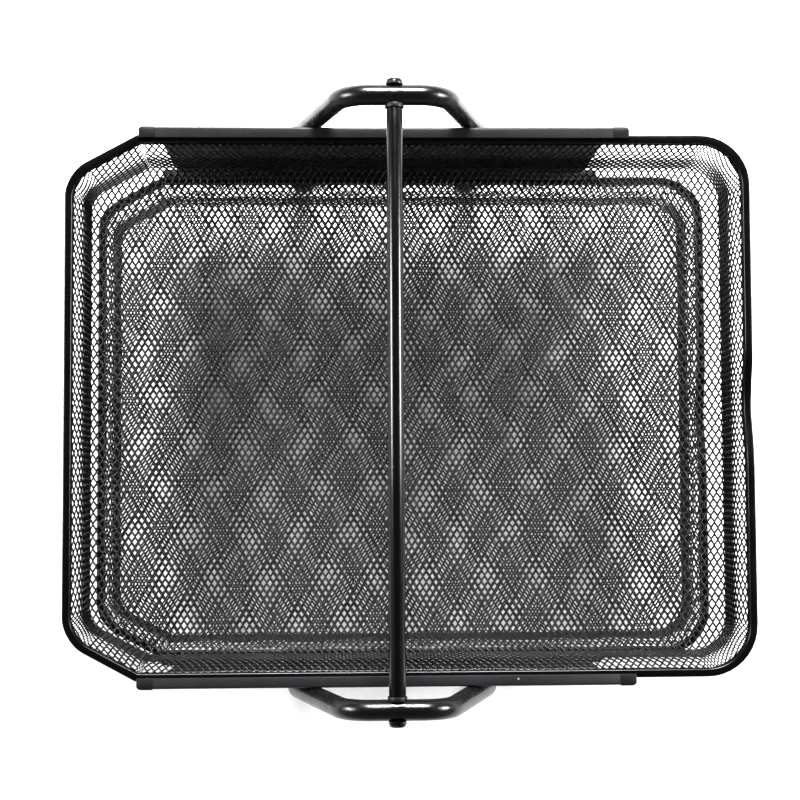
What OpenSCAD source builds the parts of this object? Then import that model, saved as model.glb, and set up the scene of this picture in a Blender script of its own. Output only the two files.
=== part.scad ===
// Two-tier desk organizer: two mesh trays that slide in rails between a pair of bent-tube side
// frames, with a carrying rod across the top. X runs front to back with the pull end at +X,
// Y runs across, and the feet stand on Z = 0. The origin is the middle of the footprint.

/* [Trays] */
// Length of a tray over its rim, front to back
tray_len = 350; // [300:1:420]
// Width of a tray over its rim
tray_wid = 276; // [220:1:340]
// Depth of a tray, from the top of its rim to the underside of its floor
tray_depth = 40; // [25:1:60]
// Width of the folded steel rim
rim_w = 4; // [3:0.5:6]
// Height of the folded steel rim
rim_h = 6; // [5:0.5:9]
// Radius of the two front corners
front_corner_r = 26; // [12:1:40]
// Length of the cut rear corners, measured along the sides
rear_cut_len = 37; // [25:1:50]
// Depth of the cut rear corners, measured across
rear_cut_wid = 20; // [10:1:30]
// Radius where each rear cut turns into the back
rear_corner_r = 20; // [8:1:24]
// Radius where each rear cut leaves the side
rear_bend_r = 6; // [2:1:10]
// Thickness of the mesh sheet
mesh_t = 0.8; // [0.6:0.1:1.5]
// How far the front rim dips for the fingers
dip_depth = 5; // [0:0.5:8]
// Length of the finger dip along the front rim
dip_len = 64; // [40:1:100]
// How far behind the rim the dip is cut through the mesh
dip_reach = 5; // [3:0.5:10]
// How far the sheet stops below the top of the rim
mesh_drop = 1; // [0.5:0.1:2]

/* [Tiers] */
// Clear height under the floor of the lower tray
floor_gap = 20; // [12:1:40]
// Height from one tray to the next
tier_pitch = 108; // [80:1:150]

/* [Rails] */
// Length of a rail over its two end caps
rail_len = 250; // [210:1:270]
// How far the middle of a rail lies from the middle of the tray
rail_x = -12.5; // [-20:0.5:0]
// Thickness of the rail sheet
rail_t = 1.5; // [1:0.1:2.5]
// Sheet of the panels that close the sides between the two rails
panel_t = 1.2; // [0.8:0.1:2]
// How far the rail's lips reach over the rim
lip_over = 2; // [1:0.5:3]
// Gap between the rim and the rail's back wall, where the glides run
side_gap = 2; // [1.2:0.1:3]
// Play above and below the rim inside the rail
rim_play = 0.4; // [0.2:0.1:0.8]
// Length of a plastic end cap beyond the rail's steel
cap_reach = 5; // [3:0.5:10]
// Length of a cap's sleeve over the rail
cap_sleeve = 3; // [2:0.5:6]
// Wall of a cap's sleeve
cap_wall = 0.6; // [0.4:0.1:1.2]
// Radius of a cap's outer corner
cap_corner_r = 3; // [1:0.5:4]
// How far a tray pulls out
tray_travel = 180; // [80:1:180]
// Gap between a glide and the cap that stops it
stop_gap = 0.5; // [0.3:0.1:1]
// Running gap between a glide and the rail's back wall
glide_gap = 0.5; // [0.3:0.1:0.8]
// How much lower a glide is than the rim it sits on
glide_relief = 1; // [0.5:0.1:2]

/* [Side frames] */
// Outer diameter of the frame tube
tube_d = 10; // [8:0.5:14]
// Wall of the frame tube
tube_wall = 1.2; // [0.8:0.1:2]
// How far the middle of a frame lies from the middle of the tray
frame_x = -9; // [-20:0.5:0]
// Half the distance between the corners at the top of the frame
arch_half = 24; // [22:0.5:30]
// Half the distance between the two legs
leg_half = 50; // [40:0.5:60]
// Height of the shoulders' lower bend under the handle
shoulder_drop = 87; // [70:1:100]
// Height of the handle above the top of the upper rim
handle_rise = 47; // [38:1:80]
// Bend radius at the top corners
arch_bend_r = 16; // [12:1:18]
// Bend radius at the bottom of the shoulders
shoulder_bend_r = 40; // [20:1:60]
// Gap left between the tube and the rail it is screwed to
seat_gap = 0.05; // [0.02:0.01:0.1]

/* [Feet] */
// Height of a foot cap
foot_h = 14; // [8:1:18]
// Thickness of a foot cap under the tube
foot_floor = 2.5; // [1.5:0.5:4]
// Wall of a foot cap round the tube
foot_wall = 1.6; // [1:0.1:3]

/* [Handle] */
// Diameter of the handle rod
rod_d = 8; // [6:0.5:12]
// Outer diameter of the collars at the rod's ends
collar_d = 10; // [9:0.5:14]
// Thickness of a collar at its thinnest
collar_t = 1.5; // [1:0.5:4]
// Diameter of the handle screws
screw_d = 4; // [3:0.5:5]
// Depth of the screws in the rod
screw_bite = 12; // [6:1:20]
// Diameter of the screw heads
head_d = 8.4; // [7:0.2:11]
// Height of the screw heads
head_h = 2.8; // [2:0.1:4]
// Head's outer face as a share of its base
head_taper = 0.8; // [0.6:0.05:1]
// Radial clearance of a screw in its hole
screw_gap = 0.05; // [0.02:0.01:0.1]

/* [Rail screws] */
// Shank diameter of the countersunk rail screws
rail_screw_d = 3; // [2:0.5:4]
// Length of the shank inside the tube
rail_screw_bite = 6; // [3:0.5:7]
// Diameter of the countersunk heads
rail_head_d = 5.6; // [5:0.1:6.4]

/* [Hidden] */
TIERS = ["lower", "upper"];
SIDES = ["left", "right"];
ENDS = ["front", "rear"];

curve_fn = 64;
eps = 0.01;
over = 1;               // how far a cut runs past the face it cuts
arc_step = 7.5;
dip_steps = 24;
band_len = 0.6;
band_t = 0.02;

// Heights of the top of each rim
lower_rim_z = floor_gap + tray_depth;
upper_rim_z = lower_rim_z + tier_pitch;

// Rail section: the web stands outside the rim, the lips reach over it
rail_in = tray_wid / 2 + side_gap;
rail_out = rail_in + rail_t;
lip_in = tray_wid / 2 - lip_over;
rail_mid_below = rim_h / 2;
channel_h = rim_h + 2 * rim_play;
rail_h = channel_h + 2 * rail_t;
rail_steel_len = rail_len - 2 * cap_reach;
glide_t = side_gap - glide_gap;
glide_len = rail_steel_len - tray_travel - 2 * stop_gap;
glide_h = rim_h - glide_relief;
glide_x = rail_x - rail_steel_len / 2 + stop_gap;

// Side frame
tube_r = tube_d / 2;
frame_y = rail_out + seat_gap + tube_r;
handle_z = upper_rim_z + handle_rise;
shoulder_z = handle_z - shoulder_drop;
frame_path = [
    [-leg_half, foot_floor], [-leg_half, shoulder_z], [-arch_half, handle_z],
    [arch_half, handle_z], [leg_half, shoulder_z], [leg_half, foot_floor]
];
frame_bends = [0, shoulder_bend_r, arch_bend_r, arch_bend_r, shoulder_bend_r, 0];

// Handle
collar_in = frame_y - tube_r - collar_t;
recess_w = 1.1;
recess_l = 5;
recess_deep = 1.6;

function unit(v) = v / norm(v);
function left_of(v) = [-v.y, v.x];
function turn_at(a, p, b) = acos(unit(p - a) * unit(b - p));
function corner_cut(a, p, b, r) = r * tan(turn_at(a, p, b) / 2);
function inwards(a, p, b) = unit(left_of(unit(p - a)) + left_of(unit(b - p)));

// Corners of a tray's outline, counter-clockwise, each [x, y, radius]
function tray_corners() = let(l = tray_len / 2, w = tray_wid / 2) [
    [l, -w, front_corner_r], [l, w, front_corner_r],
    [rear_cut_len - l, w, rear_bend_r], [-l, w - rear_cut_wid, rear_corner_r],
    [-l, rear_cut_wid - w, rear_corner_r], [rear_cut_len - l, -w, rear_bend_r]
];

// One corner of the outline moved inwards by inset and rounded
function round_corner(a, p, b, r, inset) =
    let(
        u = unit(p - a),
        into = inwards(a, p, b),
        turn = turn_at(a, p, b),
        rr = max(r - inset, 0.5),
        q = p + into * inset / cos(turn / 2),
        c = q + into * rr / cos(turn / 2),
        start = atan2(-left_of(u).y, -left_of(u).x),
        n = ceil(turn / arc_step)
    )
    [for (i = [0:n]) c + rr * [cos(start + turn * i / n), sin(start + turn * i / n)]];

function tray_outline(inset) =
    let(k = tray_corners(), n = len(k))
    [for (i = [0:n - 1])
        let(a = k[(i + n - 1) % n], p = k[i], b = k[(i + 1) % n])
        each round_corner([a.x, a.y], [p.x, p.y], [b.x, b.y], p.z, inset)];

// Height of the front rim's top under its usual level, at a distance y from the middle
function dip(y) = abs(y) > dip_len / 2 ? 0 : dip_depth * (1 + cos(360 * y / dip_len)) / 2;

// Points along the dip, from one end to the other, lowered by drop
function dip_line(drop) =
    [for (i = [0:dip_steps]) let(y = dip_len * (i / dip_steps - 0.5)) [y, -dip(y) - drop]];

module tray_prism(inset, z0, z1) {
    translate([0, 0, z0]) linear_extrude(z1 - z0) polygon(tray_outline(inset));
}

// A profile drawn in Y and Z, extruded along X
module along_x(x0, x1) {
    translate([x0, 0, 0]) rotate([90, 0, 90]) linear_extrude(x1 - x0) children();
}

// Steel rim, its top at Z = 0
module rim_body() {
    front = tray_len / 2;
    difference() {
        tray_prism(0, -rim_h, 0);
        tray_prism(rim_w, -rim_h - over, over);
        translate([front - rim_w - over, -dip_len / 2, -rim_h - over])
            cube([rim_w + 2 * over, dip_len, rim_h + 2 * over]);
    }
    along_x(front - rim_w, front) polygon(concat(dip_line(rim_h), [for (i = [dip_steps:-1:0]) dip_line(0)[i]]));
}

// Pressed mesh basket that hangs inside the rim
module mesh_body() {
    front = tray_len / 2;
    difference() {
        tray_prism(rim_w, -tray_depth, -mesh_drop);
        tray_prism(rim_w + mesh_t, mesh_t - tray_depth, over);
        along_x(front - rim_w - dip_reach, front)
            polygon(concat(dip_line(mesh_drop), [[dip_len / 2, over], [-dip_len / 2, over]]));
    }
}

module tray_rim(z) {
    color("#1d1d1f") translate([0, 0, z]) rim_body();
}

module tray_mesh(z) {
    color("#2c2c2f") translate([0, 0, z]) mesh_body();
}

// Plastic strip on the outside of the rim that runs in the rail and stops against its caps
module glide(z, side) {
    y0 = tray_wid / 2;
    color("#3a3a3c") mirror([0, side == "left" ? 0 : 1, 0])
        translate([glide_x, y0, z - rim_h + (rim_h - glide_h) / 2]) cube([glide_len, glide_t, glide_h]);
}

// Channel section in Y and Z, open towards the tray; grow widens it outwards
module channel_section(grow, back) {
    difference() {
        translate([lip_in, -rail_h / 2 - grow]) square([rail_out - lip_in + grow, rail_h + 2 * grow]);
        translate([lip_in - over, -channel_h / 2]) square([back - lip_in + over, channel_h]);
    }
}

// Places of the two legs along X at a height z
function leg_x_at(z) =
    z < shoulder_z ? leg_half : leg_half - (leg_half - arch_half) * (z - shoulder_z) / shoulder_drop;

module rail_holes(z) {
    for (s = [-1, 1])
        translate([frame_x + s * leg_x_at(z - rail_mid_below), 0, z - rail_mid_below])
            rotate([-90, 0, 0]) translate([0, 0, rail_in - eps]) countersink(screw_gap);
}

// Countersunk head with a stub of shank, its wide face at Z = 0
module countersink(gap) {
    cylinder(h = rail_t + 2 * eps, r1 = rail_head_d / 2 + gap, r2 = rail_screw_d / 2 + gap, $fn = curve_fn);
}

module rail(z, side) {
    color("#3b3b3e") mirror([0, side == "left" ? 0 : 1, 0]) difference() {
        translate([0, 0, z - rail_mid_below])
            along_x(rail_x - rail_steel_len / 2, rail_x + rail_steel_len / 2) channel_section(0, rail_in);
        rail_holes(z);
    }
}

// Sheet that closes a side between its rails, flush with their outer faces and clear of the caps' sleeves
module side_panel(side) {
    bottom = lower_rim_z - rail_mid_below + rail_h / 2 + seat_gap;
    top = upper_rim_z - rail_mid_below - rail_h / 2 - seat_gap;
    panel_len = rail_steel_len - 2 * (cap_sleeve + seat_gap);
    color("#232325") mirror([0, side == "left" ? 0 : 1, 0])
        translate([rail_x - panel_len / 2, rail_out - panel_t, bottom]) cube([panel_len, panel_t, top - bottom]);
}

// Plastic cap: a sleeve over the rail's end, then a channel whose back wall stops the glide
module cap(z, side, end) {
    dir = end == "front" ? 1 : -1;
    color("#0f0f10") translate([rail_x, 0, z - rail_mid_below])
        mirror([dir > 0 ? 0 : 1, 0, 0]) mirror([0, side == "left" ? 0 : 1, 0])
        intersection() {
            union() {
                along_x(rail_steel_len / 2, rail_len / 2)
                    channel_section(cap_wall, rail_in - side_gap + glide_gap);
                along_x(rail_steel_len / 2 - cap_sleeve, rail_steel_len / 2) difference() {
                    channel_section(cap_wall, rail_in);
                    translate([lip_in - over, -rail_h / 2]) square([rail_out - lip_in + over, rail_h]);
                }
            }
            cap_plan();
        }
}

// Plan of a cap with its outer corner rounded
module cap_plan() {
    x0 = rail_steel_len / 2 - cap_sleeve - over;
    x1 = rail_len / 2;
    y1 = rail_out + cap_wall;
    translate([0, 0, -rail_h]) linear_extrude(2 * rail_h) difference() {
        translate([x0, lip_in - over]) square([x1 - x0, y1 - lip_in + over]);
        difference() {
            translate([x1 - cap_corner_r, y1 - cap_corner_r]) square(cap_corner_r + over);
            translate([x1 - cap_corner_r, y1 - cap_corner_r]) circle(r = cap_corner_r, $fn = curve_fn);
        }
    }
}

// Straight and bent stretches of a tube that follows frame_path in X and Z, tied into one solid
// by a hair-thin band over each joint
module frame_solid(r) {
    last = len(frame_path) - 1;
    cuts = [for (i = [0:last]) i == 0 || i == last ? 0
        : corner_cut(frame_path[i - 1], frame_path[i], frame_path[i + 1], frame_bends[i])];
    for (i = [0:last - 1]) {
        a = frame_path[i];
        b = frame_path[i + 1];
        run = norm(b - a) - cuts[i] - cuts[i + 1];
        p = a + unit(b - a) * cuts[i];
        translate([p.x, 0, p.y]) rotate([0, atan2(b.x - a.x, b.y - a.y), 0]) {
            cylinder(h = run, r = r, $fn = curve_fn);
            for (z = [for (e = [0, 1]) if (i + e > 0 && i + e < last) e * run])
                translate([0, 0, z - band_len / 2]) cylinder(h = band_len, r = r + band_t, $fn = curve_fn);
        }
    }
    for (i = [1:last - 1]) frame_bend(frame_path[i - 1], frame_path[i], frame_path[i + 1], frame_bends[i], r);
}

// One bend of the tube, turning clockwise in X and Z
module frame_bend(a, p, b, bend_r, r) {
    turn = turn_at(a, p, b);
    c = p + unit(unit(a - p) + unit(b - p)) * bend_r / cos(turn / 2);
    out = p + unit(b - p) * corner_cut(a, p, b, bend_r) - c;
    translate([c.x, 0, c.y]) rotate([90, 0, 0]) rotate([0, 0, atan2(out.y, out.x)])
        rotate_extrude(angle = turn, $fn = curve_fn) translate([bend_r, 0]) circle(r = r, $fn = curve_fn);
}

module side_frame(side) {
    color("#232325") mirror([0, side == "left" ? 0 : 1, 0]) difference() {
        translate([frame_x, frame_y, 0]) difference() {
            frame_solid(tube_r);
            difference() {
                frame_solid(tube_r - tube_wall);
                translate([-leg_half - tube_d, -tube_d, -over])
                    cube([2 * leg_half + 2 * tube_d, 2 * tube_d, foot_floor + over]);
            }
        }
        for (z = [lower_rim_z, upper_rim_z], s = [-1, 1])
            translate([frame_x + s * leg_x_at(z - rail_mid_below), frame_y - tube_d, z - rail_mid_below])
                rotate([-90, 0, 0]) cylinder(h = tube_d, r = rail_screw_d / 2 + screw_gap, $fn = curve_fn);
        translate([frame_x, frame_y - tube_d, handle_z]) rotate([-90, 0, 0])
            cylinder(h = 2 * tube_d, r = screw_d / 2 + screw_gap, $fn = curve_fn);
    }
}

// Rubber cap pushed over the end of a leg
module foot(side, end) {
    dir = end == "front" ? 1 : -1;
    color("#141415") translate([frame_x + dir * leg_half, (side == "left" ? 1 : -1) * frame_y, 0])
        difference() {
            cylinder(h = foot_h, r = tube_r + foot_wall, $fn = curve_fn);
            translate([0, 0, foot_floor]) cylinder(h = foot_h, r = tube_r + screw_gap, $fn = curve_fn);
        }
}

module handle_rod() {
    color("#1a1a1c") translate([frame_x, 0, handle_z]) rotate([-90, 0, 0]) difference() {
        translate([0, 0, -collar_in]) cylinder(h = 2 * collar_in, r = rod_d / 2, $fn = curve_fn);
        for (s = [0, 1]) mirror([0, 0, s]) translate([0, 0, collar_in - screw_bite - over])
            cylinder(h = screw_bite + 2 * over, r = screw_d / 2 + screw_gap, $fn = curve_fn);
    }
}

// Collars between the rod and the frame tubes, hollowed to sit round the tube
module handle_collars() {
    color("#101011") for (s = [0, 1]) mirror([0, s, 0]) difference() {
        translate([frame_x, collar_in, handle_z]) rotate([-90, 0, 0]) difference() {
            cylinder(h = collar_t + tube_r / 2, r = collar_d / 2, $fn = curve_fn);
            translate([0, 0, -1]) cylinder(h = tube_d, r = screw_d / 2 + screw_gap, $fn = curve_fn);
        }
        translate([frame_x - tube_d, frame_y, handle_z]) rotate([0, 90, 0])
            cylinder(h = 2 * tube_d, r = tube_r + seat_gap, $fn = curve_fn);
    }
}

// Pan-head screws through the frame tubes into the rod
module handle_screws() {
    reach = frame_y + tube_r + seat_gap;
    color("#2f2f31") for (s = [0, 1]) mirror([0, s, 0])
        translate([frame_x, reach, handle_z]) rotate([-90, 0, 0]) {
            translate([0, 0, collar_in - screw_bite - reach])
                cylinder(h = reach - collar_in + screw_bite, r = screw_d / 2, $fn = curve_fn);
            difference() {
                cylinder(h = head_h, r1 = head_d / 2, r2 = head_taper * head_d / 2, $fn = curve_fn);
                for (a = [0, 90]) rotate([0, 0, a])
                    translate([-recess_l / 2, -recess_w / 2, head_h - recess_deep]) cube([recess_l, recess_w, head_h]);
            }
        }
}

// Countersunk screws through a tier's rails into the frame tubes, flush inside the rails
module rail_screws(z) {
    color("#5a5a5e") for (m = [0, 1], s = [-1, 1]) mirror([0, m, 0])
        translate([frame_x + s * leg_x_at(z - rail_mid_below), rail_in, z - rail_mid_below])
            rotate([-90, 0, 0]) {
                cylinder(h = rail_t, r1 = rail_head_d / 2, r2 = rail_screw_d / 2, $fn = curve_fn);
                translate([0, 0, rail_t]) cylinder(h = rail_screw_bite, r = rail_screw_d / 2, $fn = curve_fn);
            }
}

side_frame("left");  // left_side_frame
side_frame("right");  // right_side_frame
side_panel("left");  // left_side_panel
side_panel("right");  // right_side_panel
foot("left", "front");  // left_front_foot
foot("left", "rear");  // left_rear_foot
foot("right", "front");  // right_front_foot
foot("right", "rear");  // right_rear_foot
handle_rod();
handle_collars();
handle_screws();
for (tier = TIERS) {
    z = tier == "lower" ? lower_rim_z : upper_rim_z;
    for (side = SIDES) {
        rail(z, side);
        glide(z, side);
        for (end = ENDS)
            cap(z, side, end);
    }
    rail_screws(z);
    tray_rim(z);
    tray_mesh(z);
}
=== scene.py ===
import math

import bpy
import numpy as np
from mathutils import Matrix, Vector


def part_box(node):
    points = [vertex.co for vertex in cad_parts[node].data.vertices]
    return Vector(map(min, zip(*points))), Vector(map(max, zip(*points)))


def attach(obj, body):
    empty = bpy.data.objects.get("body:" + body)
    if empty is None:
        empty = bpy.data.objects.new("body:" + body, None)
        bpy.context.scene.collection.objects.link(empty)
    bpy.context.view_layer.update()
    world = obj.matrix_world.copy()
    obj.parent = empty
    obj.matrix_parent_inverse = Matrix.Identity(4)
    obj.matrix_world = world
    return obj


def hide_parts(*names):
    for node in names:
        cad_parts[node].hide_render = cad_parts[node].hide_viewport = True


mm = 0.001
near = 0.01 * mm  # places closer than this count as the same
joined = 0.001 * mm  # points closer than this become one
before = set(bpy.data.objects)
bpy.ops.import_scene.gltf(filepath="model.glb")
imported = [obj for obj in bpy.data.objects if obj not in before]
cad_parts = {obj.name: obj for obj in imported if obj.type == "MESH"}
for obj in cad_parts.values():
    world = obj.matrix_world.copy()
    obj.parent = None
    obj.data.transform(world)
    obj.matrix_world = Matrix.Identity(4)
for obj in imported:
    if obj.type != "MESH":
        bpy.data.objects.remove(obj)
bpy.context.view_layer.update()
print("frame loaded:", len(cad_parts), "nodes")


# helpers for selecting, editing and finishing

def deselectAll():
    if bpy.context.object and bpy.context.object.mode != "OBJECT":
        bpy.ops.object.mode_set(mode="OBJECT")
    bpy.ops.object.select_all(action="DESELECT")


def activate(piece):
    deselectAll()
    piece.select_set(True)
    bpy.context.view_layer.objects.active = piece


def selectParts(piece, kind, test):
    # kind is "VERT", "EDGE" or "FACE"; test gets the part's corner points; leaves the piece in edit mode
    activate(piece)
    mesh = piece.data
    for group in (mesh.vertices, mesh.edges, mesh.polygons):
        group.foreach_set("select", [False] * len(group))
    points = [v.co.copy() for v in mesh.vertices]
    parts = {"VERT": mesh.vertices, "EDGE": mesh.edges, "FACE": mesh.polygons}[kind]
    for part in parts:
        corners = [points[part.index]] if kind == "VERT" else [points[i] for i in part.vertices]
        if test(corners):
            part.select = True
            if kind != "VERT":
                for i in part.vertices:
                    mesh.vertices[i].select = True
    bpy.ops.object.mode_set(mode="EDIT")
    bpy.ops.mesh.select_mode(type=kind)


def editAll(piece):
    activate(piece)
    bpy.ops.object.mode_set(mode="EDIT")
    bpy.ops.mesh.select_all(action="SELECT")


def leaveEdit():
    bpy.ops.object.mode_set(mode="OBJECT")


def applyModifiers(piece):
    activate(piece)
    for modifier in list(piece.modifiers):
        bpy.ops.object.modifier_apply(modifier=modifier.name)


def placeInMesh(piece):
    activate(piece)
    bpy.ops.object.transform_apply(location=True, rotation=True, scale=True)


def copyPiece(piece, name):
    twin = piece.copy()
    twin.data = piece.data.copy()
    twin.name = name
    twin.data.name = name
    bpy.context.scene.collection.objects.link(twin)
    return twin


def shiftMesh(piece, offset):
    for vertex in piece.data.vertices:
        vertex.co += Vector(offset)


def crossOver(piece):
    # to the other side of the centre plane
    for vertex in piece.data.vertices:
        vertex.co.y = -vertex.co.y


def makeBlock(name, centre, size):
    deselectAll()
    bpy.ops.mesh.primitive_cube_add(size=1, location=centre)
    piece = bpy.context.object
    piece.name = name
    piece.scale = size
    placeInMesh(piece)
    return piece


def extrudeBy(*offset):
    bpy.ops.mesh.extrude_region_move(TRANSFORM_OT_translate={"value": offset})


def bevelEdges(piece, width, segments, test):
    selectParts(piece, "EDGE", test)
    bpy.ops.mesh.bevel(offset=width, segments=segments, affect="EDGES")
    leaveEdit()


def tidyNormals(piece):
    editAll(piece)
    bpy.ops.mesh.remove_doubles(threshold=joined)
    bpy.ops.mesh.normals_make_consistent(inside=False)
    leaveEdit()


def roundEdges(piece, width, segments=2, angle=60):
    # every edge sharper than the angle
    bevel = piece.modifiers.new("edges", "BEVEL")
    bevel.width = width
    bevel.segments = segments
    bevel.limit_method = "ANGLE"
    bevel.angle_limit = math.radians(angle)
    bevel.harden_normals = False
    applyModifiers(piece)


def smoothByAngle(piece, angle=40):
    activate(piece)
    bpy.ops.object.shade_smooth_by_angle(angle=math.radians(angle))


def finishPiece(piece, material, slotName, body, *nodes):
    piece.data.materials.clear()
    piece.data.materials.append(material)
    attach(piece, body)
    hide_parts(*nodes)


# materials

def linearColour(hexCode):
    channels = [int(hexCode[i:i + 2], 16) / 255 for i in (1, 3, 5)]
    return tuple(c / 12.92 if c <= 0.04045 else ((c + 0.055) / 1.055) ** 2.4 for c in channels) + (1.0,)


def addNode(tree, kind, settings=None, links=None):
    node = tree.nodes.new(kind)
    for name, value in (settings or {}).items():
        if isinstance(name, int) or name in node.inputs:
            node.inputs[name].default_value = value
        else:
            setattr(node, name, value)
    for name, source in (links or {}).items():
        tree.links.new(source, node.inputs[name])
    return node


def newMaterial(name):
    material = bpy.data.materials.new(name)
    material.use_nodes = True
    tree = material.node_tree
    tree.nodes.clear()
    shader = addNode(tree, "ShaderNodeBsdfPrincipled")
    addNode(tree, "ShaderNodeOutputMaterial", links={"Surface": shader.outputs["BSDF"]})
    place = addNode(tree, "ShaderNodeTexCoord").outputs["Object"]
    return material, tree, shader, place


def powderCoat(name, finish):
    # polyester powder coat baked on steel: a thin satin film with orange peel and a faint grain of pigment
    material, tree, shader, place = newMaterial(name)
    grain = addNode(tree, "ShaderNodeTexNoise",
                    {"Scale": 1 / (finish["grain"] * mm), "Detail": 3.0, "Roughness": 0.6}, {"Vector": place})
    peel = addNode(tree, "ShaderNodeTexNoise",
                   {"Scale": 1 / (finish["peel"] * mm), "Detail": 1.0, "Roughness": 0.4}, {"Vector": place})
    patches = addNode(tree, "ShaderNodeTexNoise",
                      {"Scale": 1 / (finish["patch"] * mm), "Detail": 2.0}, {"Vector": place})
    shade = addNode(tree, "ShaderNodeMapRange", {"From Min": 0.35, "From Max": 0.68},
                    {"Value": grain.outputs["Fac"]})
    colour = addNode(tree, "ShaderNodeMix",
                     {"data_type": "RGBA", 6: linearColour(finish["dark"]), 7: linearColour(finish["light"])},
                     {0: shade.outputs["Result"]}).outputs[2]
    gloss = addNode(tree, "ShaderNodeMapRange",
                    {"From Min": 0.3, "From Max": 0.7, "To Min": finish["smooth"], "To Max": finish["rough"]},
                    {"Value": patches.outputs["Fac"]})
    fine = addNode(tree, "ShaderNodeBump", {"Strength": finish["grainLift"], "Distance": 0.05 * mm},
                   {"Height": grain.outputs["Fac"]})
    wavy = addNode(tree, "ShaderNodeBump", {"Strength": finish["peelLift"], "Distance": 0.1 * mm},
                   {"Height": peel.outputs["Fac"], "Normal": fine.outputs["Normal"]})
    if "specks" in finish:
        # a few pale grains of dust caught in the film
        dots = addNode(tree, "ShaderNodeTexVoronoi", {"Scale": 1 / (finish["specks"] * mm)},
                       {"Vector": place})
        lit = addNode(tree, "ShaderNodeMapRange", {"From Min": 0.05, "From Max": 0.03},
                      {"Value": dots.outputs["Distance"]})
        colour = addNode(tree, "ShaderNodeMix", {"data_type": "RGBA", 7: linearColour(finish["speckColour"])},
                         {0: lit.outputs["Result"], 6: colour}).outputs[2]
    tree.links.new(colour, shader.inputs["Base Color"])
    tree.links.new(gloss.outputs["Result"], shader.inputs["Roughness"])
    tree.links.new(wavy.outputs["Normal"], shader.inputs["Normal"])
    shader.inputs["IOR"].default_value = finish["ior"]
    return material


def mouldedPlastic(name, finish):
    # injection moulded: an even colour with the spark-eroded grain of the mould
    material, tree, shader, place = newMaterial(name)
    grain = addNode(tree, "ShaderNodeTexNoise",
                    {"Scale": 1 / (finish["grain"] * mm), "Detail": 2.0}, {"Vector": place})
    shade = addNode(tree, "ShaderNodeMapRange", {"From Min": 0.3, "From Max": 0.7},
                    {"Value": grain.outputs["Fac"]})
    colour = addNode(tree, "ShaderNodeMix",
                     {"data_type": "RGBA", 6: linearColour(finish["dark"]), 7: linearColour(finish["light"])},
                     {0: shade.outputs["Result"]}).outputs[2]
    gloss = addNode(tree, "ShaderNodeMapRange", {"To Min": finish["smooth"], "To Max": finish["rough"]},
                    {"Value": grain.outputs["Fac"]})
    bump = addNode(tree, "ShaderNodeBump", {"Strength": finish["lift"], "Distance": 0.05 * mm},
                   {"Height": grain.outputs["Fac"]})
    tree.links.new(colour, shader.inputs["Base Color"])
    tree.links.new(gloss.outputs["Result"], shader.inputs["Roughness"])
    tree.links.new(bump.outputs["Normal"], shader.inputs["Normal"])
    shader.inputs["IOR"].default_value = finish["ior"]
    return material


def blackOxide(name, finish):
    # blackened steel: dark conversion coat, still metallic, paler where it has rubbed
    material, tree, shader, place = newMaterial(name)
    rubs = addNode(tree, "ShaderNodeTexNoise", {"Scale": 1 / (finish["rub"] * mm), "Detail": 4.0},
                   {"Vector": place})
    shade = addNode(tree, "ShaderNodeMapRange", {"From Min": 0.45, "From Max": 0.7},
                    {"Value": rubs.outputs["Fac"]})
    colour = addNode(tree, "ShaderNodeMix",
                     {"data_type": "RGBA", 6: linearColour(finish["dark"]), 7: linearColour(finish["light"])},
                     {0: shade.outputs["Result"]}).outputs[2]
    gloss = addNode(tree, "ShaderNodeMapRange", {"To Min": finish["smooth"], "To Max": finish["rough"]},
                    {"Value": rubs.outputs["Fac"]})
    tree.links.new(colour, shader.inputs["Base Color"])
    tree.links.new(gloss.outputs["Result"], shader.inputs["Roughness"])
    shader.inputs["Metallic"].default_value = 1.0
    return material


finishes = {  # grain, peel, patch and specks are sizes in mm
    "tube": {"dark": "#0d0d0f", "light": "#1a1a1c", "grain": 0.5, "peel": 1.6, "patch": 14,
             "smooth": 0.22, "rough": 0.3, "grainLift": 0.5, "peelLift": 0.5, "ior": 1.52},
    "rod": {"dark": "#0a0a0b", "light": "#141416", "grain": 0.5, "peel": 1.8, "patch": 14,
            "smooth": 0.18, "rough": 0.25, "grainLift": 0.3, "peelLift": 0.3, "ior": 1.52},
    "rail": {"dark": "#1b1b1d", "light": "#29292c", "grain": 0.5, "peel": 1.6, "patch": 18,
             "smooth": 0.38, "rough": 0.46, "grainLift": 0.5, "peelLift": 0.3, "ior": 1.5,
             "specks": 14, "speckColour": "#8c8c8e"},
    "rim": {"dark": "#08080a", "light": "#111113", "grain": 0.5, "peel": 1.8, "patch": 16,
            "smooth": 0.18, "rough": 0.26, "grainLift": 0.25, "peelLift": 0.25, "ior": 1.5},
    "mesh": {"dark": "#0b0b0c", "light": "#18181a", "grain": 0.4, "peel": 1.2, "patch": 12,
             "smooth": 0.2, "rough": 0.28, "grainLift": 0.3, "peelLift": 0.3, "ior": 1.52},
    "panel": {"dark": "#0b0b0c", "light": "#161618", "grain": 0.5, "peel": 1.8, "patch": 20,
              "smooth": 0.55, "rough": 0.68, "grainLift": 0.4, "peelLift": 0.3, "ior": 1.5},
}
tubeCoat = powderCoat("powderCoatedTube", finishes["tube"])
rodCoat = powderCoat("powderCoatedRod", finishes["rod"])
railCoat = powderCoat("powderCoatedRail", finishes["rail"])
rimCoat = powderCoat("powderCoatedRim", finishes["rim"])
meshCoat = powderCoat("powderCoatedMesh", finishes["mesh"])
panelCoat = powderCoat("powderCoatedPanel", finishes["panel"])
# polypropylene caps and collars: near black with a soft matt grain
capPlastic = mouldedPlastic("polypropyleneCaps", {"dark": "#0a0a0b", "light": "#141416", "grain": 0.35,
                                                  "smooth": 0.4, "rough": 0.55, "lift": 0.4, "ior": 1.49})
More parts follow.
